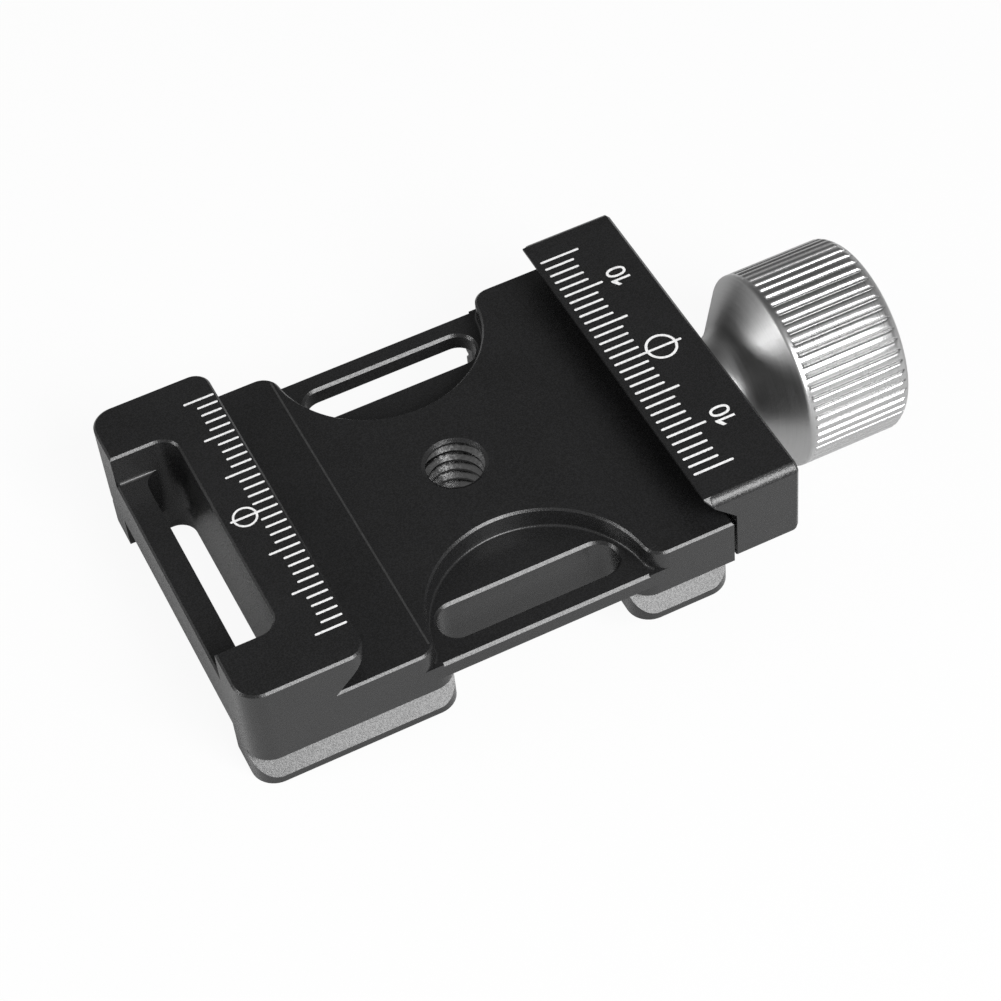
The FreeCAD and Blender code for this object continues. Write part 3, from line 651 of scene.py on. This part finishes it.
# %% Threaded clamp screw
METRIC_PITCH = 0.8 * MM
SCREW_RADIUS = 2.5 * MM
SCREW_CORE = 2.03 * MM
SCREW_TIP = 0.35 * MM
THREAD_END = jaw_low[0] + 5.3 * MM
SHANK_SLOPE = 0.4 * MM
RIDGE_ALONG = 0.3 * MM
INTO_CORE = 0.02 * MM
TAPPED_DEPTH = 6 * MM
TAPPED_RADIUS = 1.5 * MM
SAME_POINT = 1e-7


def on_shaft(along, radius, angle):
    return along, radius * math.cos(angle), shaft_height + radius * math.sin(angle)


def turn_outline(mesh, corners):
    """An outline of axial places and radii that starts and ends on the shaft's middle, turned about it."""
    rings = []
    for step in range(TURN_STEPS):
        angle = step / TURN_STEPS * math.tau
        rings.append([mesh.verts.new(on_shaft(along, radius, angle)) for along, radius in corners])
    for near, far in zip(rings, rings[1:] + rings[:1]):
        for k in range(len(corners) - 1):
            mesh.faces.new((near[k], near[k + 1], far[k + 1], far[k]))
    bmesh.ops.remove_doubles(mesh, verts=mesh.verts, dist=SAME_POINT)


mesh = bmesh.new()
turn_outline(mesh, [
    (screw_low[0], 0.0),
    (screw_low[0], SCREW_CORE - SCREW_TIP),
    (screw_low[0] + SCREW_TIP, SCREW_CORE),
    (THREAD_END, SCREW_CORE),
    (THREAD_END + SHANK_SLOPE, SCREW_RADIUS),
    (screw_high[0], SCREW_RADIUS),
    (screw_high[0], TAPPED_RADIUS),
    (screw_high[0] - TAPPED_DEPTH, TAPPED_RADIUS),
    (screw_high[0] - TAPPED_DEPTH, 0.0)])
wind_ridge(mesh, on_shaft, screw_low[0] + RIDGE_ALONG, THREAD_END + RIDGE_ALONG, METRIC_PITCH,
           foot_radius=SCREW_CORE - INTO_CORE, crest_radius=SCREW_RADIUS,
           foot_width=METRIC_PITCH * 0.85, crest_width=METRIC_PITCH * 0.15)
threaded = add_piece("threaded_clamp_screw", mesh, steel, "knob_and_screw")
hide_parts("clamp_screw")

# %% [markdown]
# ## The ribbed knob
# The solid knob has flat ribs with narrow grooves, which is all that a gripping hand needs to know. The
# real ribs are rounded like cords, and that is what makes the row of bright lines. So the knob is made
# again from the same turned outline, with a slightly crowned bevel at its end. At each place along the
# axis the ring is pressed in between the ribs by a rounded curve, and the outline says how deep: nothing
# on the neck and the rim, all of it soon after. Where the bevel is lower than the groove, the bevel wins,
# so the ribs end in tongue shaped tips.

# %% Outline of the knob
KNOB_RADIUS = 9.6 * MM
KNOB_LENGTH = knob_high[0] - knob_low[0]
KNOB_BEVEL = 1.2 * MM
BEVEL_TURN = math.radians(24)
BEVEL_STEPS = 14
NECK_RADIUS = 4.8 * MM
NECK_LENGTH = 2.4 * MM
NECK_EDGE = 0.1 * MM
NECK_BLEND = 3.0 * MM
NECK_STEPS = 10
CONE_SLOPE = math.radians(51.4)
CONE_END = NECK_LENGTH + (KNOB_RADIUS - NECK_RADIUS) / math.tan(CONE_SLOPE)
RIM_BLEND = 0.5 * MM
RIM_STEPS = 6
RIM_WIDTH = 0.47 * MM
RIM_START = CONE_END + RIM_BLEND * math.tan(CONE_SLOPE / 2)
RIBS_START = CONE_END + RIM_WIDTH
RUN_OUT = 0.35 * MM
RUN_OUT_STEPS = 5
STRAIGHT_START = RIBS_START + RUN_OUT + 1 * MM
STRAIGHT_SHARES = (0.0, 0.3, 0.7)
HOLLOW_RADIUS = 3.95 * MM
HOLLOW_DEPTH = 0.9 * MM
SCREW_BORE = 2.5 * MM
FIXING_BORE = 1.6 * MM
FIXING_WEB = 1.5 * MM
END_RECESS = 3.6 * MM
RECESS_EDGE = 0.2 * MM


def knob_outline():
    """Axial place, radius and depth of the ribs, which runs from 0 to 1, round the whole section."""
    neck = arc(NECK_LENGTH - NECK_BLEND * math.tan(CONE_SLOPE / 2), NECK_RADIUS + NECK_BLEND, -NECK_BLEND,
               0, -CONE_SLOPE, NECK_STEPS)
    rim = arc(RIM_START, KNOB_RADIUS - RIM_BLEND, RIM_BLEND, -CONE_SLOPE, 0, RIM_STEPS)
    rows = [(0.0, HOLLOW_RADIUS, 0), (0.0, NECK_RADIUS - NECK_EDGE, 0), (NECK_EDGE, NECK_RADIUS, 0)]
    rows += [(along, radius, 0) for along, radius in neck + rim]
    for step in range(RUN_OUT_STEPS + 1):
        share = step / RUN_OUT_STEPS
        rows.append((RIBS_START + RUN_OUT * share, KNOB_RADIUS, math.sqrt(1 - (1 - share) ** 2)))
    straight = KNOB_LENGTH - KNOB_BEVEL - STRAIGHT_START
    rows += [(STRAIGHT_START + share * straight, KNOB_RADIUS, 1) for share in STRAIGHT_SHARES]
    radius, depth = crown(KNOB_BEVEL, BEVEL_TURN)
    bevel = arc(KNOB_LENGTH - depth, KNOB_RADIUS - depth, radius,
                BEVEL_SLOPE - BEVEL_TURN, BEVEL_SLOPE + BEVEL_TURN, BEVEL_STEPS)
    rows += [(along, radius, 1) for along, radius in bevel]
    seat = screw_high[0] - knob_low[0]
    web = seat + FIXING_WEB
    inside = ((KNOB_LENGTH, END_RECESS + RECESS_EDGE), (KNOB_LENGTH - RECESS_EDGE, END_RECESS),
              (web, END_RECESS), (web, FIXING_BORE), (seat, FIXING_BORE), (seat, SCREW_BORE),
              (HOLLOW_DEPTH, SCREW_BORE), (HOLLOW_DEPTH, HOLLOW_RADIUS))
    return rows + [(along, radius, 0) for along, radius in inside]


print("the knob's outline has", len(knob_outline()), "corners")

# %% The ribbed knob
RIBS = 56
STEPS_TO_A_RIB = 10
RIB_DEPTH = 0.35 * MM
RIB_CURVE = 3.5

around = RIBS * STEPS_TO_A_RIB
sections = []
for along, radius, depth in knob_outline():
    section = []
    for step in range(around):
        across_rib = abs(2 * (step % STEPS_TO_A_RIB) / STEPS_TO_A_RIB - 1)
        groove = KNOB_RADIUS - RIB_DEPTH * depth * across_rib ** RIB_CURVE
        angle = math.tau * step / around + math.pi / 2
        section.append(on_shaft(knob_low[0] + along, min(radius, groove), angle))
    sections.append(section)
mesh = bmesh.new()
sweep(mesh, sections, closed=True)
ribbed = add_piece("ribbed_knob", mesh, silver, "knob_and_screw")
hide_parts("knob")

# %% [markdown]
# ## White print
# The scale is screen printed on the anodised tops: a white ink film a hundredth of a millimetre thick. It
# could be painted in the shader, but as thin plates it keeps crisp edges at any distance. The ink is a
# little uneven, as it is where it is squeezed through a mesh.

# %% White ink
INK_PATCH = 0.25 * MM
INK_DEPTH = 0.003 * MM
INK_THIN, INK_FULL = grey(0.12), grey(0.88)
INK_SMOOTH, INK_DULL = 0.5, 0.7
THINNEST_PATCH = 0.75
PATCH_COVERED = 0.6
PINHOLE = 0.08 * MM
PINHOLE_CORE, PINHOLE_EDGE = 0.28, 0.42
PINHOLE_SHARE = 0.15

white, finish = new_finish("white_print")
place = finish.place()
patches = finish.noise(place, INK_PATCH, detail=4.0)
film = finish.between(finish.noise(place, PINHOLE), PINHOLE_CORE, PINHOLE_EDGE)
cover = finish.between(patches, PATCH_FAINT, PATCH_COVERED, THINNEST_PATCH, 1.0)
finish.surface(
    colour=finish.mixed(cover * ((1 - PINHOLE_SHARE) + PINHOLE_SHARE * film), INK_THIN, INK_FULL),
    roughness=finish.between(patches, PATCH_FAINT, PATCH_FULL, INK_SMOOTH, INK_DULL),
    normal=finish.bump(patches, INK_DEPTH))
print("white ink is ready")

# %% Plates of ink
INK_LOW = body_high[2] - 0.01 * MM
INK_HIGH = body_high[2] + 0.012 * MM
BAND_HIGH = body_high[2] + 0.016 * MM
LINE_END_STEPS = 6
OVAL_STEPS = 48


def ink_plate(mesh, outline):
    """A thin plate of ink with that outline, lying on the top of a jaw."""
    sweep(mesh, [[(x, y, z) for x, y in outline] for z in (INK_LOW, INK_HIGH)])


def ink_band(mesh, outer, inner):
    """A closed band of ink between two outlines that run side by side, a touch thicker than a plate."""
    edges = ((outer, INK_LOW), (outer, BAND_HIGH), (inner, BAND_HIGH), (inner, INK_LOW))
    sweep(mesh, [[(x, y, z) for x, y in outline] for outline, z in edges], closed=True)


def ink_line(mesh, start_x, end_x, y, width):
    """A straight line across the jaw with round ends."""
    low, high = sorted((start_x, end_x))
    half = width / 2
    ink_plate(mesh, arc(high - half, y, half, math.pi, 0, LINE_END_STEPS)
              + arc(low + half, y, half, 0, -math.pi, LINE_END_STEPS))


def oval(x, y, half_x, half_y, power=2.0):
    """Points round an oval. A power over 2 squares it up a little, as a printed nought is."""
    points = []
    for step in range(OVAL_STEPS):
        angle = step / OVAL_STEPS * math.tau
        dx = math.copysign(abs(math.cos(angle)) ** (2 / power), math.cos(angle))
        dy = math.copysign(abs(math.sin(angle)) ** (2 / power), math.sin(angle))
        points.append((x + half_x * dx, y + half_y * dy))
    return points


# %% [markdown]
# ## The millimetre scale
# Both jaws carry a scale of thirty-one marks, one every millimetre, longer every fifth one. The middle
# line runs on through a ring, the usual sign for a centre. It sits a hair off the middle, as the print
# does on the real clamp. The moving jaw also has the number ten at both tens, read from the knob's end.

# %% The scale on one jaw
MARK_STEP = 1 * MM
MARKS_EACH_WAY = 15
LONG_EVERY = 5


def print_scale(mesh, shift, width, inner, short_end, long_end, centre_end,
                ring_centre, ring_radius, ring_width):
    """The marks run from inner to one of the three ends. shift moves the whole scale along the jaw."""
    for mark in range(-MARKS_EACH_WAY, MARKS_EACH_WAY + 1):
        end = centre_end if mark == 0 else long_end if mark % LONG_EVERY == 0 else short_end
        ink_line(mesh, inner, end, mark * MARK_STEP + shift, width)
    hole_radius = ring_radius - ring_width
    ink_band(mesh, oval(ring_centre, shift, ring_radius, ring_radius),
             oval(ring_centre, shift, hole_radius, hole_radius))


# %% The number ten
TEN_FOOT = 23.0 * MM
TEN_HEIGHT = 1.92 * MM
TEN_STROKE = 0.25 * MM
ONE_ASIDE = -0.5 * MM
NOUGHT_ASIDE = 0.52 * MM
NOUGHT_HALF_WIDTH = 0.61 * MM
NOUGHT_POWER = 2.3
NOSE_REACH = -0.68 * MM
ONE = ((0, -TEN_STROKE / 2), (0, TEN_STROKE / 2), (TEN_HEIGHT, TEN_STROKE / 2), (TEN_HEIGHT, -0.08 * MM),
       (TEN_HEIGHT - 0.42 * MM, NOSE_REACH), (TEN_HEIGHT - 0.78 * MM, NOSE_REACH),
       (TEN_HEIGHT - 0.5 * MM, -TEN_STROKE / 2))


def print_ten(mesh, y):
    """The number ten. Its foot points to the knob, and it is read along the jaw."""
    ink_plate(mesh, [(TEN_FOOT - up, y + ONE_ASIDE + along) for up, along in ONE])
    outer, inner = [oval(TEN_FOOT - TEN_HEIGHT / 2, y + NOUGHT_ASIDE, TEN_HEIGHT / 2 - inwards,
                         NOUGHT_HALF_WIDTH - inwards, NOUGHT_POWER) for inwards in (0, TEN_STROKE)]
    ink_band(mesh, outer, inner)


# %% Print on both jaws
MOVING_SHIFT = 0.15 * MM

mesh = bmesh.new()
print_scale(mesh, shift=0.24 * MM, width=0.225 * MM, inner=-16.74 * MM, short_end=-18.76 * MM,
            long_end=-19.71 * MM, centre_end=-21.28 * MM, ring_centre=-19.87 * MM, ring_radius=1.16 * MM,
            ring_width=0.20 * MM)
add_piece("scale_fixed_jaw", mesh, white, "base")

mesh = bmesh.new()
print_scale(mesh, shift=MOVING_SHIFT, width=0.25 * MM, inner=16.45 * MM, short_end=19.45 * MM,
            long_end=20.42 * MM, centre_end=23.3 * MM, ring_centre=21.25 * MM, ring_radius=1.525 * MM,
            ring_width=0.25 * MM)
for ten in (-10, 10):
    print_ten(mesh, ten * MARK_STEP + MOVING_SHIFT)
add_piece("scale_moving_jaw", mesh, white, "jaw")

# %% [markdown]
# ## Floor
# The clamp rests on its left edge and on the knob, which hangs lower than the body. The knob touches
# first where its full width begins, next to the neck. So the floor is a plain pale plane, tilted until it
# meets that place. What the camera sees of it is nearly white, mirrors show it dim, and the rest is a
# true shadow.

# %% Floor
FLOOR_SIZE = 1.6
FLOOR_GAP = 0.03 * MM
FLOOR_GREY = 0.76
SEEN_WHITE = 0.93
MIRRORED_WHITE = 0.12

tilt = math.atan2(-knob_low[2], knob_low[0] + RIM_START - body_low[0])
bpy.ops.mesh.primitive_plane_add(size=FLOOR_SIZE)
floor = bpy.context.object
floor.name = "floor"
floor.rotation_euler = (0, tilt, 0)
floor.location = Vector((body_low[0], 0, -FLOOR_GAP))
paper, finish = new_finish("pale_floor")
seen = finish.seen_as(SEEN_WHITE, MIRRORED_WHITE)
matt = finish.node("ShaderNodeBsdfDiffuse", None, {"Color": grey(FLOOR_GREY)})
glow = finish.node("ShaderNodeEmission", None, {"Color": grey(1.0), "Strength": 1.0})
finish.close(finish.node("ShaderNodeMixShader", None, {0: seen, 1: matt, 2: glow}))
floor.data.materials.append(paper)
print("floor tilted by %.2f degrees" % math.degrees(tilt))

# %% [markdown]
# ## Light
# A black shiny thing shows its surroundings more than its own colour. The tops of the jaws mirror what
# stands high behind the clamp, and the photograph shows them dark, so the room is a plain light grey but
# for a dim patch there. The knob mirrors the same patch as a dark band along its top. Where the camera
# looks straight at the room, behind the floor's edge, it is white. One soft lamp in front and above is
# mirrored by every slanted edge, and draws the bright lines along them. A small one on the left puts the
# soft spot on the knob's neck.

# %% The room
ROOM = 0.36
DIM_PATCH = 0.12
PATCH_WAY = Vector((0.23, 0.61, 0.76)).normalized()
PATCH_CORE = math.cos(math.radians(16))
PATCH_EDGE = math.cos(math.radians(44))

world = bpy.data.worlds.new("studio")
bpy.context.scene.world = world
finish = Finish(world)
direction = finish.node("ShaderNodeTexCoord", output="Generated")
facing = finish.node("ShaderNodeVectorMath", {"operation": "DOT_PRODUCT"},
                     {0: direction, 1: PATCH_WAY}, "Value")
room = finish.between(facing, PATCH_EDGE, PATCH_CORE, ROOM, DIM_PATCH)
level = room.highest(finish.seen_as(1.0, MIRRORED_WHITE))
light = finish.node("ShaderNodeBackground", None, {"Color": grey(1.0), "Strength": level})
finish.close(light, "ShaderNodeOutputWorld")
print("the room has strength %.2f, and %.2f in its dim patch" % (ROOM, DIM_PATCH))

# %% The lamps
LAMP_AWAY = 0.6


def softbox(name, way, size, watts):
    """A square lamp that stands that way from the clamp and looks at it."""
    lamp_data = bpy.data.lights.new(name, "AREA")
    lamp_data.shape = "SQUARE"
    lamp_data.size = size
    lamp_data.energy = watts
    lamp = bpy.data.objects.new(name, lamp_data)
    bpy.context.collection.objects.link(lamp)
    lamp.location = way.normalized() * LAMP_AWAY
    lamp.rotation_euler = way.to_track_quat("Z", "Y").to_euler()
    lamp.visible_camera = False


softbox("softbox_front", way=Vector((0.23, -0.76, 0.61)), size=0.32, watts=4.4)
softbox("softbox_left", way=Vector((-0.88, 0.16, 0.44)), size=0.16, watts=0.9)
bpy.context.scene.view_settings.view_transform = "Standard"
print("two softboxes, %.2f m away" % LAMP_AWAY)
